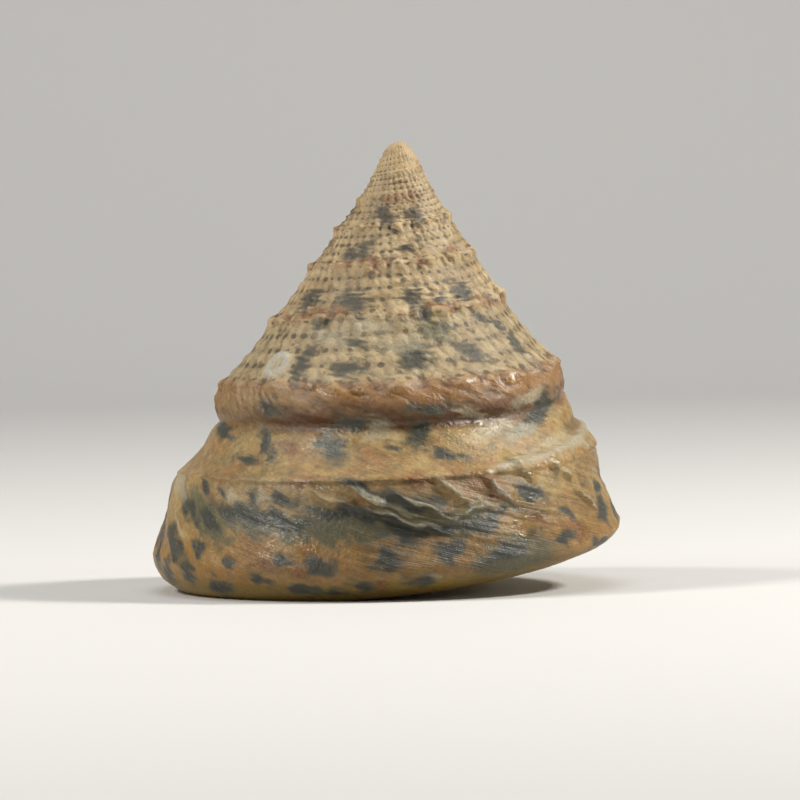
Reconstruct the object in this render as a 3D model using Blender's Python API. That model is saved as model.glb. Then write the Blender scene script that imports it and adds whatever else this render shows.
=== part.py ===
"""A top shell: one grown solid, in metres, +Z up, standing on its base as it would on a table.

The wall of the shell is a spiral ribbon. One edge of the ribbon is the keel, the outermost line of the whorl;
the other edge, the suture, is welded to the keel of the whorl before. Growth is counted in turns. Growth 0 is
on the right (+X), and it runs clockwise seen from above, over the front, the left side and the back.
"""

import math

import bmesh
import bpy
from mathutils import Matrix, Vector

MM = 0.001

# The keel, from the apex on, at every half turn of growth
KEEL_START = -8.0
KEEL_STEP = 0.5
KEEL_RADIUS_MM = (0.45, 1.45, 2.05, 2.65, 3.25, 4.0, 4.9, 6.0, 7.15, 8.5,
                  10.1, 12.4, 15.8, 17.5, 19.9, 21.9, 22.3, 24.3, 25.4)
KEEL_DEPTH_MM = (0.1, 1.1, 2.3, 3.6, 4.8, 6.0, 7.3, 8.9, 10.7, 12.7,
                 15.0, 18.2, 21.9, 24.6, 29.8, 33.2, 37.6, 41.4, 42.0)

# Where the shell stops, and how far the lip leads at the suture and lags on the base, in turns
LIP = 5.0 / 6.0
LEAD = 1.0 / 12.0
LAG = 1.0 / 12.0

# The last whorl's round edge, the flat base inside it and the columella
EDGE_WIDTH_MM = 4.4
EDGE_HEIGHT_MM = 3.7
EDGE_HEIGHT_AT_APERTURE_MM = 2.0
COLUMELLA_RADIUS_MM = 4.2
COLUMELLA_RISE_MM = 1.8
FUNNEL_DEPTH_MM = 1.8
BASE_FULLNESS = 3.0

# How hollow the walls are: 1 is straight, more flares towards the keel
FLARE = 2.9
EARLIER_FLARE = 1.2

# The rolled collar that hangs over the wall of the last whorl but one
COLLAR_GROWTH = -0.75
COLLAR_REACH = 0.42
COLLAR_BULGE_MM = 0.55
COLLAR_UNDERCUT_MM = 0.55
COLLAR_END = 0.36
UNDERCUT_WIDTH = 0.07

# Relief: knobs along the spire's keels, a groove at each suture, folds along the growth lines
KNOBS_PER_TURN = 16
KNOB_MM = 0.22
GROOVE_MM = 0.3
GROOVE_WIDTH = 0.09
FOLDS_PER_TURN = 12
FOLD_MM = 0.14

# The living chamber behind the aperture
LIP_THICKNESS_MM = 0.8
CALLUS_THICKNESS_MM = 0.25
CHAMBER_TURNS = 0.36
CHAMBER_RINGS = 14
CHAMBER_SHARE_AT_END = 0.35
CHAMBER_SQUARENESS = 2.4
CHAMBER_SLOPE = 0.11

# The mesh: columns in a turn, rows across a whorl and over the base
COLUMNS = 48
ROWS = 12
EDGE_ROWS = 5
BASE_ROWS = 14
FUNNEL_ROWS = 3
FINE_FROM = -1.0
FULL_FROM = -5.5

# How the shell leans when it stands, and how much is worn off where it touches
LEAN_FORWARD_DEG = 3.4
LEAN_RIGHT_DEG = 1.5
WORN_MM = 0.25

SHELL_COLOUR = (0.42, 0.33, 0.22, 1.0)


def smooth(low, high, x):
    """0 below low, 1 above high, and an S between them."""
    t = min(1.0, max(0.0, (x - low) / (high - low)))
    return t * t * (3.0 - 2.0 * t)


def along_keel(values, growth):
    """A keel value at this growth, on a smooth curve through the half-turn stations."""
    place = (growth - KEEL_START) / KEEL_STEP
    place = min(max(place, 0.0), len(values) - 1.0)
    i = min(int(place), len(values) - 2)
    t = place - i
    before = values[max(i - 1, 0)]
    start, end = values[i], values[i + 1]
    after = values[min(i + 2, len(values) - 1)]
    in_slope = (end - before) / 2.0
    out_slope = (after - start) / 2.0
    return (
        (2 * t**3 - 3 * t**2 + 1) * start
        + (t**3 - 2 * t**2 + t) * in_slope
        + (3 * t**2 - 2 * t**3) * end
        + (t**3 - t**2) * out_slope
    )


def knobs(growth):
    """How far the keel's knobs stand out here; they fade on the last two whorls."""
    strength = 1.0 - smooth(-1.7, -1.2, growth)
    strength *= smooth(-5.4, -4.4, growth)
    return KNOB_MM * strength * math.cos(2 * math.pi * KNOBS_PER_TURN * growth)


def keel(growth):
    """Radius and height of the keel. Heights count down from the apex."""
    if growth < KEEL_START:
        return 0.0, 0.0
    return along_keel(KEEL_RADIUS_MM, growth), -along_keel(KEEL_DEPTH_MM, growth)


def collar(growth):
    """1 where the collar is full, 0 where there is none."""
    return 1.0 - smooth(0.5 * COLLAR_REACH, COLLAR_REACH, abs(growth - COLLAR_GROWTH))


def wall(growth, across):
    """Radius and height on the wall, from the suture (across 0) to the keel (across 1)."""
    top_r, top_z = keel(growth - 1.0)
    low_r, low_z = keel(growth)
    flare = 1.0 + (FLARE - 1.0) * smooth(-1.4, -0.5, growth) * (1.0 - smooth(-0.2, 0.15, growth))
    flare += (EARLIER_FLARE - 1.0) * smooth(-2.4, -2.0, growth) * (1.0 - smooth(-1.9, -1.5, growth))
    r = top_r + (low_r - top_r) * across**flare
    z = top_z + (low_z - top_z) * across
    r += knobs(growth) * smooth(0.55, 1.0, across)
    r += knobs(growth - 1.0) * (1.0 - smooth(0.0, 0.3, across))
    grown = smooth(-2.2, -1.0, growth)
    groove = math.exp(-((across / GROOVE_WIDTH) ** 2)) * (1.0 - collar(growth))
    off_suture = smooth(0.0, 0.06, across)
    r -= GROOVE_MM * grown * groove * off_suture
    roll = math.sin(math.pi * min(1.0, across / COLLAR_END)) ** 0.8
    below = across - COLLAR_END - UNDERCUT_WIDTH
    under = math.exp(-((below / UNDERCUT_WIDTH) ** 2))
    r += collar(growth) * (COLLAR_BULGE_MM * roll - COLLAR_UNDERCUT_MM * under)
    line = growth - LEAD * (1.0 - across)
    fold = math.cos(2 * math.pi * FOLDS_PER_TURN * line) * math.sin(math.pi * across)
    return r + FOLD_MM * grown * fold, z


def edge_height(growth):
    """How far the base lies under the keel; it is least just past the aperture."""
    full = smooth(0.02, 0.34, growth)
    return EDGE_HEIGHT_AT_APERTURE_MM + (EDGE_HEIGHT_MM - EDGE_HEIGHT_AT_APERTURE_MM) * full


def base_floor():
    """Height of the callus round the columella."""
    return keel(LIP)[1] - EDGE_HEIGHT_MM + COLUMELLA_RISE_MM


def base(growth, inward):
    """Radius and height on the base, from the keel (inward 0) to the columella (inward 1)."""
    keel_r, keel_z = keel(growth)
    edge_share = EDGE_ROWS / BASE_ROWS
    if inward <= edge_share:
        turn = 0.5 * math.pi * inward / edge_share
        r = keel_r - EDGE_WIDTH_MM * (1.0 - math.cos(turn))
        return r, keel_z - edge_height(growth) * math.sin(turn)
    out_r = keel_r - EDGE_WIDTH_MM
    out_z = keel_z - edge_height(growth)
    left = 1.0 - (inward - edge_share) / (1.0 - edge_share)
    fullness = 1.0 - (1.0 - left) ** BASE_FULLNESS
    r = COLUMELLA_RADIUS_MM + (out_r - COLUMELLA_RADIUS_MM) * left
    return r, base_floor() + (out_z - base_floor()) * fullness


def point(growth, r, z):
    """The point at this growth, radius and height, in metres."""
    turn = -2.0 * math.pi * growth
    return Vector((r * math.cos(turn), r * math.sin(turn), z)) * MM


class Net:
    """Vertices by name, so that cells which share a corner share its vertex."""

    def __init__(self):
        self.mesh = bmesh.new()
        self.verts = {}

    def put(self, name, place):
        if name not in self.verts:
            self.verts[name] = self.mesh.verts.new(place)

    def face(self, names):
        """A face on these corners; corners that are one vertex count once."""
        corners = []
        for name in names:
            vert = self.verts[name]
            if not corners or corners[-1] is not vert:
                corners.append(vert)
        if corners[0] is corners[-1]:
            corners.pop()
        if len(corners) > 2:
            self.mesh.faces.new(corners)


SHIFT = round(LEAD * COLUMNS)
FIRST = round(KEEL_START * COLUMNS)
LAST = round(LIP * COLUMNS)
BARE_FROM = LAST + SHIFT - COLUMNS
APEX = "apex"


def lattice(column, row):
    """The name of a lattice point. A suture point is the keel point of the whorl before."""
    if row == 0:
        column, row = column + SHIFT - COLUMNS, ROWS
    if column < FIRST or (column == FIRST and row < ROWS):
        return APEX
    if row >= ROWS + BASE_ROWS and column == BARE_FROM + COLUMNS:
        column = BARE_FROM
    return column, row


def lattice_place(name):
    """Where a named lattice point is."""
    if name == APEX:
        return Vector((0.0, 0.0, 0.0))
    column, row = name
    growth = column / COLUMNS
    if row <= ROWS:
        across = row / ROWS
        growth += LEAD * (1.0 - across)
        return point(growth, *wall(growth, across))
    inward = (row - ROWS) / BASE_ROWS
    growth -= LAG * min(inward, 1.0)
    if inward <= 1.0:
        return point(growth, *base(growth, inward))
    out = 1.0 - (row - ROWS - BASE_ROWS) / FUNNEL_ROWS
    return point(growth, COLUMELLA_RADIUS_MM * out, base_floor() + FUNNEL_DEPTH_MM * (1.0 - out**2))


def cells():
    """Corner columns and rows of every cell, coarser towards the apex."""
    column = FIRST
    while column < LAST:
        growth = column / COLUMNS
        wide = 1 if growth >= FULL_FROM else 2
        tall = 1 if growth >= FINE_FROM else 2 * wide
        for row in range(0, ROWS, tall):
            yield column, column + wide, row, row + tall
        column += wide
    for column in range(BARE_FROM, LAST):
        for row in range(ROWS, ROWS + BASE_ROWS):
            yield column, column + 1, row, row + 1
    for column in range(BARE_FROM, BARE_FROM + COLUMNS):
        for row in range(ROWS + BASE_ROWS, ROWS + BASE_ROWS + FUNNEL_ROWS - 1):
            yield column, column + 1, row, row + 1


def weave_outside(net):
    """The outside of the shell, up to the lip. Where a cell meets finer ones it takes their corners too."""
    made = list(cells())
    for left, right, top, low in made:
        for column in (left, right):
            for row in (top, low):
                name = lattice(column, row)
                net.put(name, lattice_place(name))
    for left, right, top, low in made:
        ring = [(left, row) for row in range(top, low)]
        ring += [(column, low) for column in range(left, right)]
        ring += [(right, row) for row in range(low, top, -1)]
        ring += [(column, top) for column in range(right, left, -1)]
        names = [lattice(*corner) for corner in ring]
        net.face([name for name in names if name in net.verts])
    close_funnel(net)


def close_funnel(net):
    """The bottom of the false umbilicus."""
    row = ROWS + BASE_ROWS + FUNNEL_ROWS - 1
    net.put("funnel", point(0.0, 0.0, base_floor() + FUNNEL_DEPTH_MM))
    for column in range(BARE_FROM, BARE_FROM + COLUMNS):
        net.face([lattice(column, row), "funnel", lattice(column + 1, row)])


def mouth():
    """The aperture's rim as column, row and whorls back: the lip, the columella, then the whorl above."""
    callus = ROWS + BASE_ROWS
    rim = [(LAST, row, 0) for row in range(callus)]
    rim += [(column, callus, 0) for column in range(LAST, BARE_FROM + COLUMNS)]
    rim += [(BARE_FROM, row, 1) for row in range(callus, ROWS, -1)]
    return rim


def rim_section(column, row, whorls_back):
    """How far a rim point leads the lip, in turns, with its radius, its height and its wall."""
    growth = column / COLUMNS
    if row <= ROWS:
        across = row / ROWS
        lead = LEAD * (1.0 - across)
        return lead, *wall(growth + lead, across), LIP_THICKNESS_MM
    inward = (row - ROWS) / BASE_ROWS
    growth -= LAG * inward
    on_lip = column == LAST
    thickness = LIP_THICKNESS_MM if on_lip else CALLUS_THICKNESS_MM
    return growth + whorls_back - LIP, *base(growth, inward), thickness


def chamber_section(growth, direction):
    """A point of the chamber's rounded section at this growth."""
    out_r = keel(growth)[0] - 1.8 * LIP_THICKNESS_MM
    in_r = COLUMELLA_RADIUS_MM + 1.5 * LIP_THICKNESS_MM
    half = 0.5 * (out_r - in_r)
    roof = keel(growth - 1.0)[1] - edge_height(growth - 1.0) - CALLUS_THICKNESS_MM
    floor = keel(growth)[1] - EDGE_HEIGHT_MM + LIP_THICKNESS_MM
    c, s = math.cos(direction), math.sin(direction)
    power = CHAMBER_SQUARENESS
    out = (abs(c) ** power + abs(s) ** power) ** (-1.0 / power)
    z = 0.5 * (roof + floor) + 0.5 * (roof - floor) * s * out + CHAMBER_SLOPE * half * c * out
    return 0.5 * (out_r + in_r) + half * c * out, z


def weave_chamber(net):
    """The hollow behind the aperture: a rim of the lip's thickness, then rings that narrow to a blind end."""
    rim = mouth()
    sections = [rim_section(*place) for place in rim]
    middle_r = sum(s[1] for s in sections) / len(sections)
    middle_z = sum(s[2] for s in sections) / len(sections)
    wide = max(s[1] for s in sections) - min(s[1] for s in sections)
    tall = max(s[2] for s in sections) - min(s[2] for s in sections)
    names = [lattice(column, row) for column, row, _ in rim]
    for ring in range(CHAMBER_RINGS):
        share = ring / (CHAMBER_RINGS - 1)
        growth = LIP - CHAMBER_TURNS * share**1.3
        settled = smooth(0.0, 0.3, share)
        narrow = 1.0 - (1.0 - CHAMBER_SHARE_AT_END) * share**2
        new_names = []
        for i, (lead, r, z, thickness) in enumerate(sections):
            direction = math.atan2((z - middle_z) / tall, (r - middle_r) / wide)
            deep_r, deep_z = chamber_section(growth, direction)
            centre_r, centre_z = chamber_centre(growth)
            deep_r = centre_r + (deep_r - centre_r) * narrow
            deep_z = centre_z + (deep_z - centre_z) * narrow
            inset = thickness / math.hypot(middle_r - r, middle_z - z)
            near_r = r + (middle_r - r) * inset
            near_z = z + (middle_z - z) * inset
            place_r = near_r + (deep_r - near_r) * settled
            place_z = near_z + (deep_z - near_z) * settled
            name = ("ring", ring, i)
            net.put(name, point(growth + lead * (1.0 - settled), place_r, place_z))
            new_names.append(name)
        bridge(net, names, new_names)
        names = new_names
    net.put("blind end", point(LIP - CHAMBER_TURNS * 1.06, *chamber_centre(LIP - CHAMBER_TURNS)))
    for i, name in enumerate(names):
        net.face([name, "blind end", names[i - 1]])


def chamber_centre(growth):
    """The middle of the chamber's section."""
    right = chamber_section(growth, 0.0)
    left = chamber_section(growth, math.pi)
    return 0.5 * (right[0] + left[0]), 0.5 * (right[1] + left[1])


def bridge(net, outer, inner):
    """Faces between two rings with as many points."""
    for i, name in enumerate(outer):
        net.face([outer[i - 1], name, inner[i], inner[i - 1]])


def stand(mesh):
    """Leans the shell as it stands, puts its lowest points on z = 0 and wears them flat."""
    lean = Matrix.Rotation(math.radians(LEAN_FORWARD_DEG), 4, "X")
    lean = Matrix.Rotation(math.radians(LEAN_RIGHT_DEG), 4, "Y") @ lean
    bmesh.ops.transform(mesh, matrix=lean, verts=mesh.verts)
    lows = [min(v.co[axis] for v in mesh.verts) for axis in range(3)]
    highs = [max(v.co[axis] for v in mesh.verts) for axis in range(3)]
    drop = lows[2] + WORN_MM * MM
    for vert in mesh.verts:
        vert.co.x -= 0.5 * (lows[0] + highs[0])
        vert.co.y -= 0.5 * (lows[1] + highs[1])
        vert.co.z = max(0.0, vert.co.z - drop)


def shell_material():
    """Buff, salmon and slate, taken together as one plain colour."""
    material = bpy.data.materials.new("shell")
    material.use_nodes = True
    surface = material.node_tree.nodes["Principled BSDF"]
    surface.inputs["Base Color"].default_value = SHELL_COLOUR
    surface.inputs["Roughness"].default_value = 0.45
    surface.inputs["Metallic"].default_value = 0.0
    return material


def make_shell():
    """The whole shell as one closed mesh object."""
    net = Net()
    weave_outside(net)
    weave_chamber(net)
    stand(net.mesh)
    bmesh.ops.recalc_face_normals(net.mesh, faces=net.mesh.faces)
    data = bpy.data.meshes.new("shell")
    net.mesh.to_mesh(data)
    net.mesh.free()
    data.shade_smooth()
    data.set_sharp_from_angle(angle=math.radians(50.0))
    data.materials.append(shell_material())
    bpy.context.scene.collection.objects.link(bpy.data.objects.new("shell", data))


for thing in list(bpy.data.objects):
    bpy.data.objects.remove(thing)
make_shell()
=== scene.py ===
# %% [markdown]
# # A top shell
# A top shell is one piece of lime that a sea snail adds to all its life, always at the lip. The ribbon it lays
# down coils round an axis, so nearly everything about the shell is a rule in one number: how many turns it has
# grown. Growth 0 is on the right (+X), and growing goes clockwise seen from above: over the front, which faces
# the camera (-Y), then the left, then the back (+Y), where the aperture is.
#
# This lesson makes one closed mesh in Geometry Nodes from a flat net of (growth, across) points, then paints
# it with marks that are laid out in the same two numbers. Lengths in the rules are millimetres.

# %% Load the frame
import math

import bmesh
import bpy
import numpy as np
from mathutils import Matrix, Vector


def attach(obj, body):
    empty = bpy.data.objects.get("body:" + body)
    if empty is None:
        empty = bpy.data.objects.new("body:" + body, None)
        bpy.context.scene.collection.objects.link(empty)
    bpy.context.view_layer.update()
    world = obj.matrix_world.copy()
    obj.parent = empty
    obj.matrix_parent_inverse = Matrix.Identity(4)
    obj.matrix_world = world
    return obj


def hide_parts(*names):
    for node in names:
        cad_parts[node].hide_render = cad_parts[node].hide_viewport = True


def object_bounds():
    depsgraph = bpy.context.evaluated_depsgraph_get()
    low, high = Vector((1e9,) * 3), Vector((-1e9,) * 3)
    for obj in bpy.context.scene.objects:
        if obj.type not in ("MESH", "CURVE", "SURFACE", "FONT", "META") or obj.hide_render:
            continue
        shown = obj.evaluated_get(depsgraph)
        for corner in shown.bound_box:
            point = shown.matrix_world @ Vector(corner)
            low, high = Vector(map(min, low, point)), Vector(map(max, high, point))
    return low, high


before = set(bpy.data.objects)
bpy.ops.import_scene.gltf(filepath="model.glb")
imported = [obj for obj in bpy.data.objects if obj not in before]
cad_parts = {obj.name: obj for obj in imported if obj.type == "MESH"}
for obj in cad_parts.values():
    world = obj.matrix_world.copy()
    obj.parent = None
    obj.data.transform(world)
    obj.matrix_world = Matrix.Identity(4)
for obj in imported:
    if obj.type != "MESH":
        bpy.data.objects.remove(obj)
cad_box = [list(corner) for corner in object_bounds()]
print("solid's box in mm:", [[round(1000.0 * v, 2) for v in corner] for corner in cad_box])

# %% [markdown]
# ## Sums on sockets
# Node maths reads best as ordinary sums. The class below wraps one output socket, and each operator adds a
# Math node. The helpers under it also take plain numbers and arrays, so that a rule of the shell is written
# once and works both in Python and in a node tree.

# %% A socket that takes part in sums
def sum_method(operation, swapped=False):
    """A method that adds this Math node. Swapped, it puts the other value first."""
    def method(self, other):
        values = (other, self) if swapped else (self, other)
        return operate(self.tree, operation, *values)
    return method


class Reading:
    """One socket's value, for use in a sum."""

    def __init__(self, tree, socket):
        self.tree = tree
        self.socket = socket

    def math(self, operation, *values):
        return operate(self.tree, operation, self, *values)

    def __neg__(self):
        return self.math("MULTIPLY", -1.0)

    def __abs__(self):
        return self.math("ABSOLUTE")

    __add__ = __radd__ = sum_method("ADD")
    __mul__ = __rmul__ = sum_method("MULTIPLY")
    __sub__, __rsub__ = sum_method("SUBTRACT"), sum_method("SUBTRACT", swapped=True)
    __truediv__, __rtruediv__ = sum_method("DIVIDE"), sum_method("DIVIDE", swapped=True)
    __pow__ = sum_method("POWER")


def plug(tree, value, place):
    """Puts a number, a socket or a Reading into an input."""
    if isinstance(value, Reading):
        value = value.socket
    if isinstance(value, bpy.types.NodeSocket):
        tree.links.new(value, place)
    else:
        place.default_value = value


def operate(tree, operation, *values):
    """A Math node on these values."""
    node = tree.nodes.new("ShaderNodeMath")
    node.operation = operation
    for value, place in zip(values, node.inputs):
        plug(tree, value, place)
    return Reading(tree, node.outputs[0])


def add_node(tree, kind, settings=None, sockets=None):
    """Any other node: its settings first, then what its inputs hold."""
    node = tree.nodes.new(kind)
    for name, value in (settings or {}).items():
        setattr(node, name, value)
    for name, value in (sockets or {}).items():
        plug(tree, value, node.inputs[name])
    return node


def noise(tree, place, scale, detail, roughness, kind):
    """Noise from about 0 to 1, with this many features in a unit of the place."""
    sockets = {"Vector": place, "Scale": scale, "Detail": detail, "Roughness": roughness}
    node = add_node(tree, "ShaderNodeTexNoise", {"noise_dimensions": kind}, sockets)
    return Reading(tree, node.outputs[0])


def joined(tree, x, y, z):
    """A vector of three values."""
    return add_node(tree, "ShaderNodeCombineXYZ", sockets={"X": x, "Y": y, "Z": z}).outputs[0]


def on_vectors(tree, operation, first, second):
    """A Vector Math node. A scale takes its factor as the second value."""
    second_input = "Scale" if operation == "SCALE" else 1
    return add_node(tree, "ShaderNodeVectorMath", {"operation": operation}, {0: first, second_input: second})


def tell(what, tree):
    print(f"{what}: {len(tree.nodes)} nodes so far")


print("sums that a socket takes part in: + - * / ** and abs")

# %% [markdown]
# ## Rules for numbers, arrays and sockets
# A shell is all slow changes: a step that eases in, a hump, a wave. These few curves are enough for the keel,
# the ledge, the beads and the colours. Each looks at what it is given and answers in kind.

# %% Rules that work on numbers, arrays and sockets
def smooth(low, high, x):
    """0 below low, 1 above high, and an S between them."""
    if isinstance(x, Reading):
        sockets = {"Value": x, "From Min": low, "From Max": high}
        node = add_node(x.tree, "ShaderNodeMapRange", {"interpolation_type": "SMOOTHSTEP"}, sockets)
        return Reading(x.tree, node.outputs["Result"])
    t = np.clip((x - low) / (high - low), 0.0, 1.0)
    return t * t * (3.0 - 2.0 * t)


def fall(low, high, x):
    """1 below low, 0 above high, and an S between them."""
    return 1.0 - smooth(low, high, x)


def window(start, full, fade, end, x):
    """0 before start, 1 from full to fade, and 0 again after end."""
    return smooth(start, full, x) * fall(fade, end, x)


def wave(x):
    """1 at every whole number, -1 half way between."""
    x = x * (2.0 * math.pi)
    return x.math("COSINE") if isinstance(x, Reading) else np.cos(x)


def arch(x):
    """0 at 0, 1 at a half and 0 at 1."""
    x = x * math.pi
    return x.math("SINE") if isinstance(x, Reading) else np.sin(x)


def bump(x, width):
    """A bell that is 1 at x = 0."""
    power = -((x / width) * (x / width))
    return power.math("EXPONENT") if isinstance(power, Reading) else np.exp(power)


def at_most(x, top):
    return x.math("MINIMUM", top) if isinstance(x, Reading) else np.minimum(x, top)


def at_least(x, floor):
    return x.math("MAXIMUM", floor) if isinstance(x, Reading) else np.maximum(x, floor)


def mixed(share, low, high):
    """low where share is 0, high where it is 1."""
    return low + (high - low) * share


print("a step, a quarter of the way up:", smooth(0.0, 1.0, 0.25))
print("a bell, at its width:", round(float(bump(1.0, 1.0)), 3))

# %% [markdown]
# ## The keel
# The keel is the outermost line of the whorl. A real shell's keel isn't a perfect cone: this one starts steep,
# spreads below the ledge and hardly grows at the very end. So its radius and its depth below the apex are
# read every half turn, and a smooth curve goes through the readings.

# %% The keel's curve
KEEL_START = -8.0
KEEL_STEP = 0.5
KEEL_RADIUS_MM = (0.45, 1.45, 2.05, 2.65, 3.25, 4.0, 4.9, 6.0, 7.15, 8.5,
                  10.1, 12.4, 15.8, 17.5, 19.9, 21.9, 22.3, 24.3, 25.4)
KEEL_DEPTH_MM = (0.1, 1.1, 2.3, 3.6, 4.8, 6.0, 7.3, 8.9, 10.7, 12.7,
                 15.0, 18.2, 21.9, 24.6, 29.8, 33.2, 37.6, 41.4, 42.0)


def along_keel(values, growth):
    """Keel values at these growths, on a smooth curve through the half-turn readings."""
    values = np.asarray(values)
    last = len(values) - 1
    place = np.clip((growth - KEEL_START) / KEEL_STEP, 0.0, last)
    i = np.minimum(place.astype(int), last - 1)
    t = place - i
    start, end = values[i], values[i + 1]
    in_slope = 0.5 * (end - values[np.maximum(i - 1, 0)])
    out_slope = 0.5 * (values[np.minimum(i + 2, last)] - start)
    return (
        (2 * t**3 - 3 * t**2 + 1) * start
        + (t**3 - 2 * t**2 + t) * in_slope
        + (3 * t**2 - 2 * t**3) * end
        + (t**3 - t**2) * out_slope
    )


def keel(growth):
    """Radius and height of the keel; heights count down from the apex."""
    growth = np.asarray(growth, dtype=float)
    grown = np.where(growth < KEEL_START, 0.0, 1.0)
    return grown * along_keel(KEEL_RADIUS_MM, growth), -grown * along_keel(KEEL_DEPTH_MM, growth)


for turns in (-6.75, -4.75, -2.75, -0.75, 0.25):
    r, z = keel(turns)
    print(f"keel at growth {turns}: radius {float(r):.1f} mm, {float(-z):.1f} mm below the apex")

# %% [markdown]
# ## The wall and the base
# Between two turns of the keel the wall is a straight line, a hollow curve where the shell flares, or, under
# the ledge, a rolled collar. Under the keel come a round edge, the flat base and the pit at the columella.

# %% The section of a whorl
LIP = 5.0 / 6.0
LEAD = 1.0 / 12.0
LAG = 1.0 / 12.0
EDGE_WIDTH_MM = 4.4
EDGE_HEIGHT_MM = 3.7
EDGE_HEIGHT_AT_APERTURE_MM = 2.0
COLUMELLA_RADIUS_MM = 4.2
COLUMELLA_RISE_MM = 1.8
FUNNEL_DEPTH_MM = 1.8
BASE_FULLNESS = 3.0
FLARE = 2.9
FLARED = (-1.4, -0.5, -0.2, 0.15)
EARLIER_FLARE = 1.2
EARLIER_FLARED = (-2.4, -2.0, -1.9, -1.5)
COLLAR_GROWTH = -0.75
COLLAR_REACH = 0.42
COLLAR_BULGE_MM = 0.55
COLLAR_UNDERCUT_MM = 0.55
COLLAR_END = 0.36
UNDERCUT_WIDTH = 0.07
KNOBS_PER_TURN = 16
KNOB_MM = 0.22
KNOBBED = (-5.4, -4.4, -1.7, -1.2)
GROOVE_MM = 0.3
GROOVE_WIDTH = 0.09
FOLDS_PER_TURN = 12
FOLD_MM = 0.14
EDGE_SHARE = 5.0 / 14.0
BASE_FLOOR_MM = float(keel(LIP)[1]) - EDGE_HEIGHT_MM + COLUMELLA_RISE_MM


def knobs(growth):
    """How far the keel's knobs stand out; they fade on the last two whorls."""
    return window(*KNOBBED, growth) * wave(growth * KNOBS_PER_TURN) * KNOB_MM


def collar(growth):
    """1 where the collar is full, 0 where there is none."""
    return fall(0.5 * COLLAR_REACH, COLLAR_REACH, abs(growth - COLLAR_GROWTH))


def wall(growth, across, top_r, top_z, low_r, low_z):
    """Radius and height on the wall, from the suture (across 0) to the keel (across 1)."""
    flare = window(*FLARED, growth) * (FLARE - 1.0)
    earlier = window(*EARLIER_FLARED, growth) * (EARLIER_FLARE - 1.0)
    r = top_r + (low_r - top_r) * across ** (flare + earlier + 1.0)
    z = top_z + (low_z - top_z) * across
    r = r + knobs(growth) * smooth(0.55, 1.0, across)
    r = r + knobs(growth - 1.0) * fall(0.0, 0.3, across)
    grown = smooth(-2.2, -1.0, growth)
    under_ledge = collar(growth)
    groove = bump(across, GROOVE_WIDTH) * (1.0 - under_ledge) * smooth(0.0, 0.06, across)
    r = r - grown * groove * GROOVE_MM
    roll = at_least(arch(at_most(across / COLLAR_END, 1.0)), 0.0) ** 0.8
    under = bump(across - (COLLAR_END + UNDERCUT_WIDTH), UNDERCUT_WIDTH)
    r = r + under_ledge * (roll * COLLAR_BULGE_MM - under * COLLAR_UNDERCUT_MM)
    fold = wave((growth - (1.0 - across) * LEAD) * FOLDS_PER_TURN) * arch(across)
    return r + grown * fold * FOLD_MM, z


def edge_height(growth):
    """How far the base lies under the keel; it is least just past the aperture."""
    full = smooth(0.02, 0.34, growth)
    return full * (EDGE_HEIGHT_MM - EDGE_HEIGHT_AT_APERTURE_MM) + EDGE_HEIGHT_AT_APERTURE_MM


def base(growth, inward, keel_r, keel_z):
    """Radius and height on the base, from the keel (inward 0) to the columella (inward 1)."""
    turned = at_most(inward / EDGE_SHARE, 1.0) * 0.25
    out_r = keel_r - EDGE_WIDTH_MM
    out_z = keel_z - edge_height(growth)
    left = 1.0 - at_least(inward - EDGE_SHARE, 0.0) / (1.0 - EDGE_SHARE)
    fullness = 1.0 - (1.0 - left) ** BASE_FULLNESS
    r = COLUMELLA_RADIUS_MM + (out_r - COLUMELLA_RADIUS_MM) * left + wave(turned) * EDGE_WIDTH_MM
    z = BASE_FLOOR_MM + (out_z - BASE_FLOOR_MM) * fullness
    return r, z + (1.0 - arch(turned * 2.0)) * edge_height(growth)


print("callus round the columella:", round(-BASE_FLOOR_MM, 2), "mm below the apex")

# %% [markdown]
# ## A net in two numbers
# The net is a lattice of columns, which follow the growth lines, and rows, which follow the whorl. Row 0 of a
# whorl is the same line as the keel of the whorl before, so both take the same vertices and the mesh closes
# by itself. Cells are coarser where the shell is small. A cell that meets finer ones takes their corners too.
# Each face corner also keeps its own column and row as a map for the paint, because at the suture one vertex
# has two readings: the end of one whorl and the start of the next.

# %% Lattice names
COLUMNS = 624
ROWS = 48
EDGE_ROWS = 14
BASE_ROWS = 30
FUNNEL_ROWS = 4
SHIFT = round(LEAD * COLUMNS)
FIRST = round(KEEL_START * COLUMNS)
LAST = round(LIP * COLUMNS)
BARE_FROM = LAST + SHIFT - COLUMNS
CALLUS = ROWS + EDGE_ROWS + BASE_ROWS
APEX = "apex"
CELL_SIZES = ((0.0, 1, 1), (-2.0, 1, 2), (-3.0, 2, 2), (-4.0, 2, 3), (-6.0, 4, 3))
COARSEST_CELL = (4, 4)


def lattice(column, row):
    """The name of a lattice point. A suture point is the keel point of the whorl before."""
    if row == 0:
        column, row = column + SHIFT - COLUMNS, ROWS
    if column < FIRST or (column == FIRST and row < ROWS):
        return APEX
    if row >= CALLUS and column == BARE_FROM + COLUMNS:
        column = BARE_FROM
    return column, row


def across_of(row):
    """0 to 1 on the wall, 1 to 2 on the base, with the round edge's share given to its own rows."""
    if row <= ROWS:
        return row / ROWS
    edge = row - ROWS
    if edge <= EDGE_ROWS:
        return 1.0 + EDGE_SHARE * edge / EDGE_ROWS
    if edge <= EDGE_ROWS + BASE_ROWS:
        return 1.0 + EDGE_SHARE + (1.0 - EDGE_SHARE) * (edge - EDGE_ROWS) / BASE_ROWS
    return 2.0 + (row - CALLUS) / FUNNEL_ROWS


def cell_size(growth):
    """Columns and rows that one wall cell spans."""
    for start, wide, tall in CELL_SIZES:
        if growth >= start - LAG:
            return wide, tall
    return COARSEST_CELL


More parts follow.
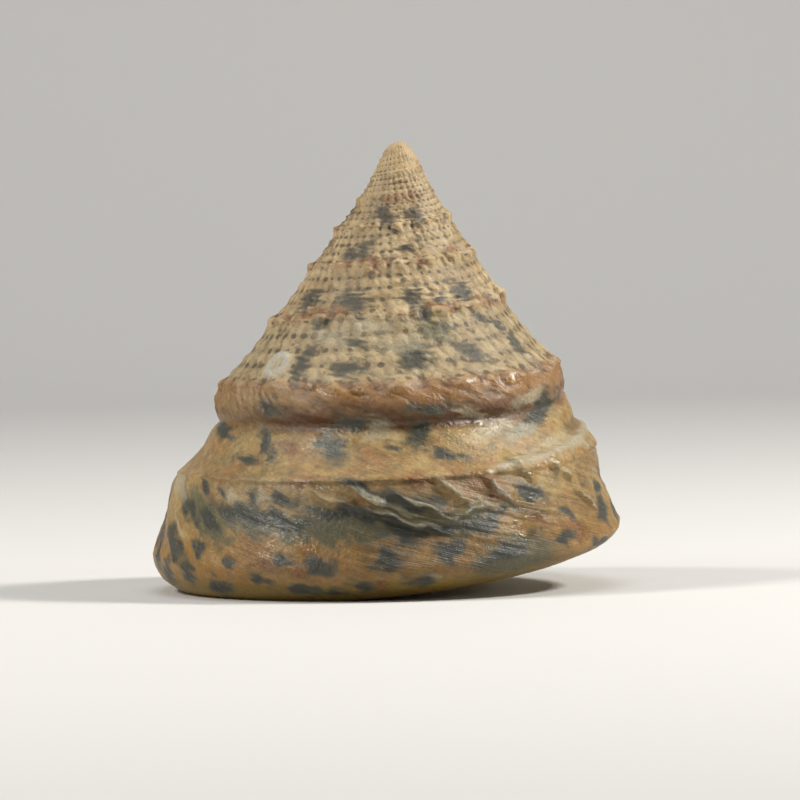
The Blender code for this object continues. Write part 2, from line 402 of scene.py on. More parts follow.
def cells():
    """The columns and rows of every cell's corners."""
    column = FIRST
    while column < LAST:
        wide, tall = cell_size(column / COLUMNS)
        for row in range(0, ROWS, tall):
            yield column, column + wide, row, row + tall
        column += wide
    for column in range(BARE_FROM, LAST):
        for row in range(ROWS, ROWS + EDGE_ROWS):
            yield column, column + 1, row, row + 1
    for column in range(BARE_FROM, LAST, 2):
        for row in range(ROWS + EDGE_ROWS, CALLUS):
            yield column, column + 2, row, row + 1
    for column in range(BARE_FROM, BARE_FROM + COLUMNS, 4):
        for row in range(CALLUS, CALLUS + FUNNEL_ROWS - 1):
            yield column, column + 4, row, row + 1


print("a cell at the lip is", round(2.0 * math.pi * float(keel(LIP)[0]) / COLUMNS, 2), "mm wide")

# %% [markdown]
# ## Weaving the outside
# Cells are collected as lists of names, and a name becomes a point the first time it is asked for. So two
# cells with a common corner always share the vertex, and the mesh is closed without any merging.

# %% Weave the outside
points = {}
faces = []
face_maps = []


def put(name):
    """The number of the vertex with this name."""
    return points.setdefault(name, len(points))


def add_face(corners):
    """A face on (vertex name, column, row) corners; corners that are one vertex count once."""
    ring = []
    for name, column, row in corners:
        if not ring or ring[-1][0] != points[name]:
            ring.append((points[name], column / COLUMNS, across_of(row)))
    if ring[0][0] == ring[-1][0]:
        ring.pop()
    if len(ring) > 2:
        ring.reverse()
        faces.append([corner[0] for corner in ring])
        face_maps.extend(corner[1:] for corner in ring)


woven = list(cells())
for left, right, top, low in woven:
    for column in (left, right):
        for row in (top, low):
            put(lattice(column, row))
for left, right, top, low in woven:
    ring = [(left, row) for row in range(top, low)]
    ring += [(column, low) for column in range(left, right)]
    ring += [(right, row) for row in range(low, top, -1)]
    ring += [(column, top) for column in range(right, left, -1)]
    named = [(lattice(*corner), *corner) for corner in ring]
    add_face([corner for corner in named if corner[0] in points])
put("funnel")
for column in range(BARE_FROM, BARE_FROM + COLUMNS, 4):
    row = CALLUS + FUNNEL_ROWS - 1
    add_face([(lattice(column, row), column, row), ("funnel", column, row + 1),
              (lattice(column + 4, row), column + 4, row)])
print(len(points), "points and", len(faces), "cells outside")

# %% [markdown]
# ## The hollow behind the aperture
# The rim of the aperture is where the net ends: down the lip, along the columella and back up under the whorl
# above. A thin wall turns inwards from it, and rings of the same number of points lead down the living chamber
# to a blind end, past what anyone sees from outside.

# %% The rim and the chamber's rings
LIP_THICKNESS_MM = 0.8
CALLUS_THICKNESS_MM = 0.25
CHAMBER_TURNS = 0.36
CHAMBER_RINGS = 14
CHAMBER_SHARE_AT_END = 0.35
CHAMBER_SQUARENESS = 2.4
CHAMBER_SLOPE = 0.11


def wall_at(growth, across):
    """Radius and height of a wall point, as plain numbers."""
    r, z = wall(growth, across, *keel(growth - 1.0), *keel(growth))
    return float(r), float(z)


def chamber_section(growth, direction):
    """A point of the chamber's rounded section."""
    out_r = float(keel(growth)[0]) - 1.8 * LIP_THICKNESS_MM
    in_r = COLUMELLA_RADIUS_MM + 1.5 * LIP_THICKNESS_MM
    half = 0.5 * (out_r - in_r)
    roof = float(keel(growth - 1.0)[1] - edge_height(growth - 1.0)) - CALLUS_THICKNESS_MM
    floor = float(keel(growth)[1]) - EDGE_HEIGHT_MM + LIP_THICKNESS_MM
    c, s = math.cos(direction), math.sin(direction)
    out = (abs(c) ** CHAMBER_SQUARENESS + abs(s) ** CHAMBER_SQUARENESS) ** (-1.0 / CHAMBER_SQUARENESS)
    z = 0.5 * (roof + floor) + 0.5 * (roof - floor) * s * out + CHAMBER_SLOPE * half * c * out
    return 0.5 * (out_r + in_r) + half * c * out, z


def chamber_centre(growth):
    right, left = chamber_section(growth, 0.0), chamber_section(growth, math.pi)
    return 0.5 * (right[0] + left[0]), 0.5 * (right[1] + left[1])


def rim_section(column, row, whorls_back):
    """How far a rim point leads the lip, in turns, its radius, its height and its wall."""
    growth = column / COLUMNS
    if row <= ROWS:
        lead = LEAD * (1.0 - row / ROWS)
        return lead, *wall_at(growth + lead, row / ROWS), LIP_THICKNESS_MM
    inward = across_of(row) - 1.0
    growth -= LAG * inward
    thickness = LIP_THICKNESS_MM if column == LAST else CALLUS_THICKNESS_MM
    r, z = base(growth, inward, *keel(growth))
    return growth + whorls_back - LIP, float(r), float(z), thickness


rim = [(LAST, row, 0) for row in range(CALLUS)]
rim += [(column, CALLUS, 0) for column in range(LAST, BARE_FROM + COLUMNS)]
rim += [(BARE_FROM, row, 1) for row in range(CALLUS, ROWS, -1)]
rim = [place for place in rim if lattice(place[0], place[1]) in points]
sections = [rim_section(*place) for place in rim]
middle_r = sum(s[1] for s in sections) / len(sections)
middle_z = sum(s[2] for s in sections) / len(sections)
wide = max(s[1] for s in sections) - min(s[1] for s in sections)
tall = max(s[2] for s in sections) - min(s[2] for s in sections)
hollow = {}


def bridge(outer, inner):
    """Faces between two rings with as many points."""
    for i, name in enumerate(outer):
        corners = [outer[i - 1], name, inner[i], inner[i - 1]]
        add_face([(corner, LAST, CALLUS) for corner in corners])


names = [lattice(column, row) for column, row, _ in rim]
for ring in range(CHAMBER_RINGS):
    share = ring / (CHAMBER_RINGS - 1)
    growth = LIP - CHAMBER_TURNS * share**1.3
    settled = float(smooth(0.0, 0.3, share))
    narrow = 1.0 - (1.0 - CHAMBER_SHARE_AT_END) * share**2
    centre_r, centre_z = chamber_centre(growth)
    new_names = []
    for i, (lead, r, z, thickness) in enumerate(sections):
        deep_r, deep_z = chamber_section(growth, math.atan2((z - middle_z) / tall, (r - middle_r) / wide))
        inset = thickness / math.hypot(middle_r - r, middle_z - z)
        near_r, near_z = r + (middle_r - r) * inset, z + (middle_z - z) * inset
        deep_r = centre_r + (deep_r - centre_r) * narrow
        deep_z = centre_z + (deep_z - centre_z) * narrow
        name = ("ring", ring, i)
        put(name)
        hollow[name] = (
            growth + lead * (1.0 - settled),
            near_r + (deep_r - near_r) * settled,
            near_z + (deep_z - near_z) * settled,
        )
        new_names.append(name)
    bridge(names, new_names)
    names = new_names
put("blind end")
hollow["blind end"] = (LIP - 1.06 * CHAMBER_TURNS, *chamber_centre(LIP - CHAMBER_TURNS))
for i, name in enumerate(names):
    add_face([(corner, LAST, CALLUS) for corner in (name, "blind end", names[i - 1])])
print(len(rim), "points round the aperture;", len(points), "points and", len(faces), "cells in all")

# %% [markdown]
# ## Readings on the net
# The node tree needs to know at each point how far the shell had grown, how far down the whorl the point is,
# and where the keels above and below it run. These go onto a flat mesh as attributes.

# %% The flat net
count = len(points)
growth = np.zeros(count)
across = np.zeros(count)
given = np.zeros((count, 3))
for name, i in points.items():
    if name in hollow:
        growth[i], across[i] = hollow[name][0], 3.0
        given[i] = (1.0, *hollow[name][1:])
    elif name == "funnel":
        across[i] = 3.0
        given[i] = (1.0, 0.0, BASE_FLOOR_MM + FUNNEL_DEPTH_MM)
    elif name == APEX:
        growth[i] = KEEL_START
        given[i] = (1.0, 0.0, 0.0)
    else:
        column, row = name
        across[i] = across_of(row)
        growth[i] = column / COLUMNS + LEAD * max(0.0, 1.0 - across[i])
        growth[i] -= LAG * min(max(0.0, across[i] - 1.0), 1.0)
low_r, low_z = keel(growth)
top_r, top_z = keel(growth - 1.0)
net = bpy.data.meshes.new("flat net")
flat = np.stack([0.01 * growth, 0.01 * across, np.zeros(count)], axis=1)
net.from_pydata(flat.tolist(), [], faces)
readings = {
    "growth": growth, "across": across, "given": given[:, 0], "given r": given[:, 1], "given z": given[:, 2],
    "keel r": low_r, "keel z": low_z, "above r": top_r, "above z": top_z,
}


def keep(name, values):
    """Stores one number for each point of the net."""
    layer = net.attributes.new(name, "FLOAT", "POINT")
    layer.data.foreach_set("value", values.astype(np.float32))


for name, values in readings.items():
    keep(name, values)
growth_map = net.uv_layers.new(name="growth map")
growth_map.data.foreach_set("uv", np.asarray(face_maps, dtype=np.float32).ravel())
link = bpy.context.scene.collection.objects.link
net_object = bpy.data.objects.new("shell net", net)
link(net_object)
print("longest wall:", round(float(np.hypot(low_r - top_r, low_z - top_z)[across <= 1.0].max()), 1), "mm")

# %% [markdown]
# ## Marks
# The snail lays pigment down as it grows, so marks sit in rows along the whorl and trail off along the growth
# lines. Each mark here is an oval: where it lies in growth and across, half its length, half its width, and
# how many degrees its length slopes down against the way of growth. The front follows the real shell; behind
# it seeded rows go on in the same way. Laid into vertex attributes the marks stay soft-edged, and the shader
# roughens their edges. Slate is the blue-grey to brown pigment, rust lies on the nodules and the ledge, olive
# is a stain in the hollow of the last whorl, pale marks are chalky or worn, and glints are finely pitted and
# wet-looking. Torn ridges are lamellae that stand up, so the tree below raises them.

# %% Where the marks of the front lie
SLATE_MARKS = (
    (-4.705, 0.63, 1.5, 0.6, 56), (-3.728, 0.02, 0.9, 0.2, 64), (-4.8, 0.7, 1.1, 0.7, 15),
    (-3.646, 0.69, 1.5, 0.6, -4), (-3.672, 0.58, 0.6, 0.6, -18), (-3.764, 0.62, 0.7, 0.6, 13),
    (-2.592, 0.6, 1.2, 1.2, 87), (-2.678, 0.67, 1.6, 0.9, 24), (-2.77, 0.67, 1.0, 0.8, 62),
    (-2.861, 0.69, 1.0, 1.0, 13), (-1.784, 0.02, 0.7, 0.7, -2), (-1.696, 0.33, 1.2, 0.5, 19),
    (-1.639, 0.04, 1.1, 0.5, 9), (-1.642, 0.66, 1.9, 0.7, 84), (-1.697, 0.71, 1.4, 0.9, 3),
    (-1.768, 0.58, 1.5, 1.6, 26), (-1.837, 0.59, 1.6, 0.9, 16), (-1.916, 0.58, 1.2, 1.0, -61),
    (-2.816, 0.79, 0.7, 0.4, 5), (-2.692, 0.99, 0.4, 0.4, 0), (-1.727, 0.22, 0.7, 0.3, 1),
    (-1.884, 0.2, 1.3, 0.4, 28), (-1.908, 0.33, 0.8, 0.6, 54), (-0.694, 0.66, 1.9, 1.1, 32),
    (-0.707, 0.38, 1.7, 0.6, -1), (-0.627, 0.61, 2.5, 0.6, 38), (-0.611, 0.8, 1.9, 0.4, 2),
    (-0.623, 0.21, 1.3, 0.7, 20), (-0.553, 0.51, 3.3, 0.5, 15), (-0.769, 0.52, 1.2, 1.5, 61),
    (-0.792, 0.78, 2.0, 0.4, 11), (-0.905, 0.46, 5.8, 0.5, -15), (-0.777, 0.25, 1.9, 0.5, 4),
    (-0.916, 0.29, 1.2, 1.0, 87), (-0.746, 0.67, 0.9, 0.3, 27), (0.41, 0.11, 1.5, 0.4, 29),
    (0.432, 0.35, 3.1, 0.8, 31), (0.391, 0.17, 0.8, 0.3, 22), (0.359, 0.2, 0.9, 0.5, 47),
    (0.334, 0.22, 1.6, 0.6, 4), (0.272, 0.12, 2.8, 0.5, 26), (0.239, 0.28, 3.5, 0.8, 12),
    (0.356, 0.41, 5.7, 0.8, 8), (0.326, 0.49, 2.3, 0.6, 3), (0.283, 0.38, 4.1, 0.7, 5),
    (0.248, 0.58, 2.3, 1.2, 26), (0.187, 0.57, 2.9, 0.8, -23), (0.213, 0.86, 1.2, 1.0, -27),
    (0.174, 0.98, 3.4, 0.9, -20), (0.146, 0.28, 1.6, 0.6, 30), (0.112, 0.61, 1.3, 0.5, 27),
    (0.056, 0.73, 1.7, 1.3, 55), (0.055, 0.42, 1.5, 0.6, 37), (0.118, 0.9, 1.4, 0.6, 7),
    (0.233, 1.12, 1.2, 0.9, 10), (0.256, 0.93, 1.7, 1.0, -17), (0.468, 1.0, 1.6, 1.2, 55),
    (0.437, 0.81, 3.0, 1.0, 31), (0.447, 1.08, 1.9, 1.1, -53), (0.413, 1.05, 1.4, 1.3, 69),
    (0.371, 0.95, 1.0, 0.6, 51), (0.384, 1.14, 1.2, 1.3, 6), (0.345, 1.07, 1.1, 0.7, 12),
    (0.301, 0.99, 1.4, 0.9, 25), (0.314, 1.14, 1.2, 0.8, 8), (0.273, 1.13, 0.8, 0.8, 7),
    (0.329, 0.87, 1.0, 0.6, 15), (0.29, 1.17, 0.9, 0.6, 2), (0.071, 1.07, 2.1, 0.9, 24),
    (0.399, 0.48, 2.1, 0.6, 35), (0.22, 0.61, 3.2, 0.5, -10), (0.403, 0.81, 1.2, 0.5, 42),
)
RUST_MARKS = (
    (-2.803, 0.85, 0.9, 0.6, 17), (-2.82, 0.97, 1.2, 0.5, 4), (-2.669, 0.79, 1.5, 0.4, 10),
    (-3.696, 0.91, 1.4, 0.5, 8), (-2.797, 0.0, 0.9, 0.4, 32), (-3.879, 0.8, 1.6, 0.4, 5),
    (-2.663, 0.87, 1.3, 0.5, 5), (-2.9, 0.97, 2.3, 0.6, 22), (-5.732, 0.98, 1.4, 0.4, -3),
    (-3.633, 0.94, 1.0, 0.4, 4), (-2.615, 0.88, 2.3, 0.6, 1), (-4.805, 0.13, 0.9, 0.5, 69),
    (-2.869, 0.54, 0.9, 0.3, 6), (-1.973, 0.08, 0.9, 1.2, 59), (-3.572, 0.87, 1.0, 0.3, -12),
    (-2.57, 0.92, 1.2, 0.4, -11), (-0.629, 0.1, 0.9, 0.6, 41), (-0.725, 0.19, 4.5, 0.6, 5),
    (-0.775, 0.09, 3.9, 0.8, -8), (-0.681, 0.99, 1.9, 0.7, -1), (0.34, 0.97, 1.9, 0.5, 6),
    (0.315, 1.02, 2.5, 0.7, 11), (-0.761, 1.0, 1.5, 0.9, 11), (0.178, 0.16, 1.8, 1.0, 52),
    (0.105, 0.81, 1.9, 1.1, 29), (0.261, 1.13, 1.3, 1.0, 23), (-0.653, 0.66, 2.0, 0.6, 16),
    (0.18, 0.98, 1.3, 0.5, 27), (0.14, 0.63, 1.5, 0.5, 30),
)
OLIVE_MARKS = (
    (-1.8, 0.25, 1.6, 1.1, 13), (0.326, 0.52, 9.8, 1.2, 5), (0.261, 0.46, 5.4, 1.1, 4),
    (-0.623, 0.2, 1.8, 1.0, 9), (0.22, 0.53, 5.6, 0.9, -7), (0.166, 1.03, 4.3, 2.2, 0),
    (0.404, 0.48, 3.9, 1.5, 33),
)
PALE_MARKS = (
    (0.462, 0.14, 3.6, 0.9, 19), (0.381, 0.15, 1.3, 0.6, 32), (0.353, 0.14, 1.3, 0.6, 50),
    (0.263, 0.21, 2.0, 0.2, 28), (0.217, 0.07, 1.3, 0.3, 33), (0.174, 0.2, 1.5, 0.5, 53),
    (0.262, 0.26, 1.6, 0.2, 28), (0.23, 0.32, 3.2, 0.2, 25), (0.244, 0.38, 2.0, 0.2, 23),
    (0.254, 1.07, 1.3, 0.3, 9), (-0.881, 0.83, 7.1, 0.4, -10), (-0.936, 0.86, 4.6, 0.6, 9),
    (-1.753, 0.41, 2.5, 1.0, 6), (-1.712, 0.12, 2.7, 1.2, 8), (-1.662, 0.24, 2.6, 0.9, 11),
    (-1.743, 0.83, 1.5, 0.4, 3), (-0.889, 0.25, 2.6, 1.0, -13), (-0.868, 0.62, 2.7, 0.5, -13),
    (-0.838, 0.54, 3.3, 0.6, -16), (-0.819, 0.33, 2.9, 0.6, 27), (-0.734, 0.46, 1.9, 1.2, 19),
    (0.226, 1.08, 1.0, 0.4, 21), (-1.694, 0.86, 1.7, 0.3, -2), (0.173, 0.39, 2.2, 0.2, 28),
    (0.437, 0.58, 2.7, 0.3, 28),
)
GLINT_MARKS = (
    (0.33, 0.47, 2.5, 1.1, 4), (0.324, 0.76, 2.3, 1.3, 7), (0.331, 0.85, 1.5, 0.8, 6),
    (0.149, 0.55, 1.9, 1.7, -55), (-0.693, 0.57, 2.8, 1.2, 3), (-1.84, 0.96, 4.3, 0.6, 6),
    (-1.688, 1.0, 2.5, 0.4, 10), (-0.825, 0.48, 3.8, 0.7, -4), (0.314, 0.05, 2.6, 0.3, 5),
    (0.125, 0.04, 3.3, 0.4, -2), (-0.815, 0.96, 1.2, 0.3, 1),
)
TORN_RIDGES = (
    (0.272, 0.19, 2.8, 0.4, 28), (0.234, 0.3, 3.3, 0.4, 25), (0.209, 0.18, 2.5, 0.6, 39),
    (0.173, 0.21, 2.3, 0.6, 49), (0.247, 0.47, 4.3, 0.3, 20), (0.197, 0.43, 2.7, 0.4, -13),
    (0.298, 0.21, 2.8, 0.3, 16), (0.108, 0.1, 2.1, 0.7, 36), (0.15, 0.0, 2.1, 0.5, 48),
    (0.08, 0.53, 2.9, 0.5, 38),
)
print("marks in front:", len(SLATE_MARKS), "slate,", len(RUST_MARKS), "rust,", len(OLIVE_MARKS), "olive,",
      len(PALE_MARKS), "pale,", len(GLINT_MARKS), "glints and", len(TORN_RIDGES), "torn ridges")

# %% [markdown]
# ## Rows of marks behind
# The photograph shows only the front, so the back is carried on by rule. A seeded generator scatters marks in
# rows along the whorl, with the same sizes and slopes as in front. The seed is fixed, so every run gives the
# same shell.

# %% Rows of marks behind
MARKS_SEED = 11
RIDGE_WIDENING = 1.5
luck = np.random.default_rng(MARKS_SEED)


def row_of_marks(first, last, every_mm, across_there, along, downward, tilt):
    """Marks in a row along the whorl, about every so many millimetres."""
    marks = []
    at = first
    while at < last:
        marks.append((
            at, across_there + luck.uniform(-0.07, 0.07), along * luck.uniform(0.6, 1.3),
            downward * luck.uniform(0.7, 1.3), tilt + luck.uniform(-20.0, 20.0),
        ))
        at += every_mm * luck.uniform(0.7, 1.35) / (2.0 * math.pi * float(keel(at)[0]))
    return marks


slate, rust, pale = list(SLATE_MARKS), list(RUST_MARKS), list(PALE_MARKS)
torn = [(*mark[:3], RIDGE_WIDENING * mark[3], mark[4]) for mark in TORN_RIDGES]
rows_behind = []
for whorl in (-5, -4, -3, -2):
    rows_behind += [
        (slate, whorl + 0.53, whorl + 0.98, 5.0, 0.62, 1.3, 0.9, 10.0),
        (slate, whorl + 0.53, whorl + 0.98, 7.0, 0.25, 0.7, 0.4, 10.0),
        (rust, whorl + 0.5, whorl + 1.0, 4.0, 0.93, 1.2, 0.45, 5.0),
    ]
rows_behind += [
    (slate, -0.46, -0.02, 6.0, 0.5, 2.0, 0.9, 40.0), (slate, -0.46, -0.02, 7.0, 0.8, 1.5, 0.7, 15.0),
    (slate, -0.1, 0.03, 6.0, 0.3, 1.8, 0.7, 45.0), (slate, 0.49, 0.9, 4.6, 0.2, 1.9, 0.6, 40.0),
    (slate, 0.49, 0.9, 6.5, 0.5, 3.0, 0.8, 25.0), (slate, 0.49, 0.84, 5.0, 0.86, 1.4, 0.8, 30.0),
    (slate, 0.49, 0.84, 5.0, 1.1, 1.1, 0.8, 20.0), (slate, -0.08, 0.03, 5.0, 0.85, 1.3, 0.8, 20.0),
    (pale, 0.49, 0.9, 4.5, 0.12, 1.6, 0.5, 40.0), (rust, 0.49, 0.84, 9.0, 0.7, 2.6, 0.9, 20.0),
    (torn, 0.56, 0.85, 4.5, 0.15, 1.9, 0.6, 35.0), (torn, 0.6, 0.85, 8.0, 0.4, 3.4, 0.7, 22.0),
]
rows_behind += [(slate, -0.1, 0.84, 5.0, on_base, 0.9, 0.45, 0.0) for on_base in (1.42, 1.55, 1.68, 1.82)]
for marks, *row in rows_behind:
    marks += row_of_marks(*row)
print(len(slate), "slate,", len(rust), "rust and", len(pale), "pale marks")

# %% [markdown]
# ## Laying the marks
# A mark could be a noise threshold in the shader, but then it would fall anywhere. Here each vertex works out
# how deep inside the ovals it lies, once, with arrays, and keeps the answer as an attribute. A slow sway bends
# the ovals a little, and the shader frays their edges later. The turn is closed, so a mark is tried one whorl
# up and one whorl down as well.

# %% Lay the marks onto the net
BASE_LENGTH_MM = 21.0
FAR_MM = 99.0
inward = np.clip(across - 1.0, 0.0, 1.0)
radius = top_r + (low_r - top_r) * np.minimum(across, 1.0)
radius = radius + (COLUMELLA_RADIUS_MM - radius) * inward
wall_length = np.hypot(low_r - top_r, low_z - top_z)
mm_along = growth * 2.0 * math.pi * radius
mm_down = wall_length * np.minimum(across, 1.0) + BASE_LENGTH_MM * inward
sway_along = 0.45 * np.sin(1.3 * mm_along + 1.1 * mm_down) + 0.3 * np.sin(2.9 * mm_down - 1.7 * mm_along + 1.0)
sway_down = 0.35 * np.sin(1.5 * mm_along - 0.8 * mm_down + 2.0) + 0.22 * np.sin(3.1 * mm_along + 1.9 * mm_down)


def lay(name, marks, soft=1.5, crest=False):
    """Puts marks into a vertex attribute: 1 in the middle, 0 well outside. A crest falls off sharply below."""
    value = np.zeros(count)
    for growth_there, across_there, along, downward, tilt in marks:
        own_length = float(np.hypot(*np.subtract(keel(growth_there), keel(growth_there - 1.0))))
        c, s = math.cos(math.radians(tilt)), math.sin(math.radians(tilt))
        for whorls_on in (0,) if across_there > 1.0 else (-1, 0, 1):
            a = (growth - growth_there - whorls_on) * 2.0 * math.pi * radius
            if whorls_on == 0:
                d = mm_down - wall_length * min(across_there, 1.0)
                d = d - BASE_LENGTH_MM * max(across_there - 1.0, 0.0)
            elif whorls_on == 1:
                d = mm_down + own_length * (1.0 - across_there)
            else:
                d = np.where(across > 1.0, FAR_MM, mm_down - wall_length - own_length * across_there)
            near = np.abs(a) < 2.0 * (along + downward) + 2.0
            sway = 0.4 if crest else min(1.0, 0.4 + 0.5 * downward)
            a = (a + sway * sway_along)[near]
            d = (d + sway * sway_down)[near]
            length = (a * c - d * s) / along
            width = (a * s + d * c) / downward
            if crest:
                shape = window(-1.6, 0.0, 0.1, 0.7, width) * fall(0.5, 1.1, abs(length))
            else:
                shape = fall(0.0, soft, np.hypot(length, width))
            value[near] = np.maximum(value[near], shape)
    keep(name, value)
    print(f"{name}: {(value > 0.5).mean():.1%} of the points")


for name, marks, soft in (("slate", slate, 1.9), ("rust", rust, 2.0), ("olive", OLIVE_MARKS, 1.9),
                          ("pale", pale, 2.0), ("glint", GLINT_MARKS, 1.8)):
    lay(name, marks, soft)
lay("torn", torn, crest=True)

SHELF_LEFT, SHELF_RIGHT = (-0.825, 0.97), (-0.975, 0.80)
SHELF_WIDTH = 0.034
share = (growth - SHELF_RIGHT[0]) / (SHELF_LEFT[0] - SHELF_RIGHT[0])
shelf_across = SHELF_RIGHT[1] + (SHELF_LEFT[1] - SHELF_RIGHT[1]) * np.clip(share, 0.0, 1.0)
keep("shelf", bump(across - shelf_across, SHELF_WIDTH) * window(-0.5, -0.1, 0.95, 1.02, share))

# %% [markdown]
# ## From the net to the shell
# The tree first winds the bare form: the rule of the wall, the base or the pit gives radius and height, and
# growth gives the turn. Then the surface moves along its own normal by the relief. On the spire that is rows
# of beads and a nodular keel, on the ledge rough folds, and below it growth folds and lamellae, which lie
# much more across the whorl than the mouth does. Last the shell leans as it stands on its base, and what
# reaches under the floor is worn flat.

# %% The tree and its inputs
sizes = {
    "Bead height": 0.20,
    "Keel nodule height": 0.42,
    "Ledge roughness": 0.26,
    "Lamella height": 0.30,
    "Torn ridge height": 0.6,
    "Growth fold height": 0.16,
    "Growth line height": 0.05,
    "Base cord height": 0.10,
    "Shelf height": 0.45,
    "Left shoulder height": 0.10,
    "Worm tube height": 0.42,
}
tree = bpy.data.node_groups.new("Grown shell", "GeometryNodeTree")
tree.is_modifier = True
tree.interface.new_socket("Net", in_out="INPUT", socket_type="NodeSocketGeometry")
size_keys = {}
for name, value in sizes.items():
    socket = tree.interface.new_socket(name, in_out="INPUT", socket_type="NodeSocketFloat")
    socket.default_value = value
    size_keys[name] = socket.identifier
material_socket = tree.interface.new_socket("Material", in_out="INPUT", socket_type="NodeSocketMaterial")
tree.interface.new_socket("Shell", in_out="OUTPUT", socket_type="NodeSocketGeometry")
entry = tree.nodes.new("NodeGroupInput")
size = {name: Reading(tree, entry.outputs[name]) for name in sizes}
print(len(sizes), "sizes as inputs")


def stored(name):
    """The net's reading of this name."""
    node = add_node(tree, "GeometryNodeInputNamedAttribute", {"data_type": "FLOAT"}, {"Name": name})
    return Reading(tree, node.outputs["Attribute"])


def grain(place, scale, detail=2.0, kind="3D"):
    """Smooth noise about -1 to 1."""
    return noise(tree, place, scale, detail, 0.5, kind) * 2.0 - 1.0


# %% [markdown]
# ## The bare form
# The net carries growth and across at each of its points. The same rule functions that measured the keel above
# now run on sockets, and their results are wound round the axis. What can't follow a rule, the rim and the
# chamber behind it, brings its own radius and height along.

# %% The bare form
turns = stored("growth")
down = stored("across")
given_here = stored("given")
keel_r, keel_z = stored("keel r"), stored("keel z")
wall_r, wall_z = wall(turns, at_most(down, 1.0), stored("above r"), stored("above z"), keel_r, keel_z)
base_r, base_z = base(turns, at_most(at_least(down - 1.0, 0.0), 1.0), keel_r, keel_z)
pit_out = 1.0 - at_least(down - 2.0, 0.0)
on_base = down.math("GREATER_THAN", 1.0)
in_pit = down.math("GREATER_THAN", 2.0)
pit_r = pit_out * COLUMELLA_RADIUS_MM
pit_z = (1.0 - pit_out * pit_out) * FUNNEL_DEPTH_MM + BASE_FLOOR_MM
form_r = mixed(given_here, mixed(in_pit, mixed(on_base, wall_r, base_r), pit_r), stored("given r"))
form_z = mixed(given_here, mixed(in_pit, mixed(on_base, wall_z, base_z), pit_z), stored("given z"))
angle = turns * (-2.0 * math.pi)
wound = joined(tree, angle.math("COSINE") * form_r, angle.math("SINE") * form_r, form_z)
bare = add_node(tree, "GeometryNodeSetPosition", sockets={"Geometry": entry.outputs["Net"], "Position": wound})
tell("bare form", tree)

# %% [markdown]
# ## Relief
# Each kind of relief is a height in millimetres with its own window in growth and across. Beads stand in rows
# that follow the suture and in files that follow the growth lines, and their number in a turn rises slowly
# as the shell grows. The keel between them is nodular.

# %% Beads and nodules of the spire
BEAD_ROWS = 4
BEADED_SHARE = 0.88
BEAD_SHARPNESS = 1.3
NODULES_PER_TURN = 32


def bead_phase(growth, across):
    """Whole at every file of beads; a turn holds more of them as the shell grows."""
    file = growth - (1.0 - across) * (0.3 * LEAD)
    return file * 50.0 + (file + 3.0) * (file + 3.0) * 3.0


here = add_node(tree, "GeometryNodeInputPosition").outputs[0]
on_wall = 1.0 - on_base
spire = fall(-1.45, -1.15, turns) * on_wall
unevenness = grain(here, 0.5)
beads = (wave(bead_phase(turns, down) + grain(here, 0.6) * 0.5) * 0.5 + 0.5) ** BEAD_SHARPNESS
rows = (0.5 - wave(down * (BEAD_ROWS / BEADED_SHARE) + unevenness * 0.2) * 0.5) ** BEAD_SHARPNESS
beaded = smooth(-7.5, -6.3, turns) * fall(BEADED_SHARE - 0.02, BEADED_SHARE + 0.06, down)
height = spire * beaded * (beads * rows - 0.3) * (grain(here, 0.9) * 0.9 + 0.85) * size["Bead height"]
ridge = smooth(0.8, 0.97, down) + fall(0.02, 0.12, down)
nodules = wave(turns * NODULES_PER_TURN + grain(here, 0.25) * 0.8) * 0.5 + unevenness * 0.8 + 0.35
height += spire * smooth(-6.8, -5.0, turns) * ridge * nodules * size["Keel nodule height"]
tell("beads and nodules", tree)

# %% [markdown]
# ## The rough ledge
# The ledge is lumpy and cracked along the whorl, so its noise is stretched that way. On its left it is folded
# down the whorl instead.

# %% The ledge
CRACK_DEPTH_MM = 0.16
LEFT_FOLD_MM = 0.10
long_grain = joined(tree, turns * 26.0, down * 6.0, 0.0)
ledge = collar(turns) * fall(0.30, 0.46, down) * on_wall
above_ledge = window(-2.15, -2.0, -1.35, -1.2, turns) * smooth(0.86, 0.96, down)
lumps = grain(long_grain, 1.0, 2.0, "2D") + grain(here, 0.7, 2.0) * 0.5
height += (ledge + above_ledge * 0.6) * lumps * size["Ledge roughness"]
crack = bump(grain(long_grain, 0.8, 2.0, "2D"), 0.1)
height -= (ledge + above_ledge) * crack * CRACK_DEPTH_MM
left_folds = window(-0.68, -0.6, -0.42, -0.36, turns) * fall(0.2, 0.4, down)
height += left_folds * on_wall * wave(turns * 105.0 + down * 5.0 + unevenness) * LEFT_FOLD_MM
tell("ledge", tree)

# %% [markdown]
# ## Lamellae and growth lines
# Below the ledge the growth lines show. The lamellae are saw-toothed, as each growth line overlaps the next
# like a tile. The torn ridges and the shelf come from the marks that were laid onto the net.

# %% Lamellae, growth lines and torn ridges
LAMELLAE_PER_TURN = 40
LAMELLA_LEAD = 0.2
grown = smooth(-1.25, -0.95, turns) * on_wall
warp = grain(here, 0.12) * 0.6
lamella = turns * LAMELLAE_PER_TURN - (1.0 - down) * (LAMELLA_LEAD * LAMELLAE_PER_TURN) + warp
tooth = lamella.math("FRACT")
tooth = tooth * fall(0.72, 1.0, tooth) - 0.3
tiled = window(0.0, 0.1, 0.24, 0.42, turns) * bump(down - 0.45, 0.4)
height += grown * tooth * (tiled * 0.45 + 0.06) * size["Lamella height"]
growth_folds = grain(joined(tree, lamella * 0.55, down * 2.2, 0.0), 1.0, 3.0, "2D")
growth_lines = grain(joined(tree, lamella * 3.0, down * 2.5, 3.0), 1.0, 2.0, "2D")
height += grown * growth_folds * size["Growth fold height"]
lined = window(0.0, 0.08, 0.24, 0.34, turns) * 0.7 + 0.3
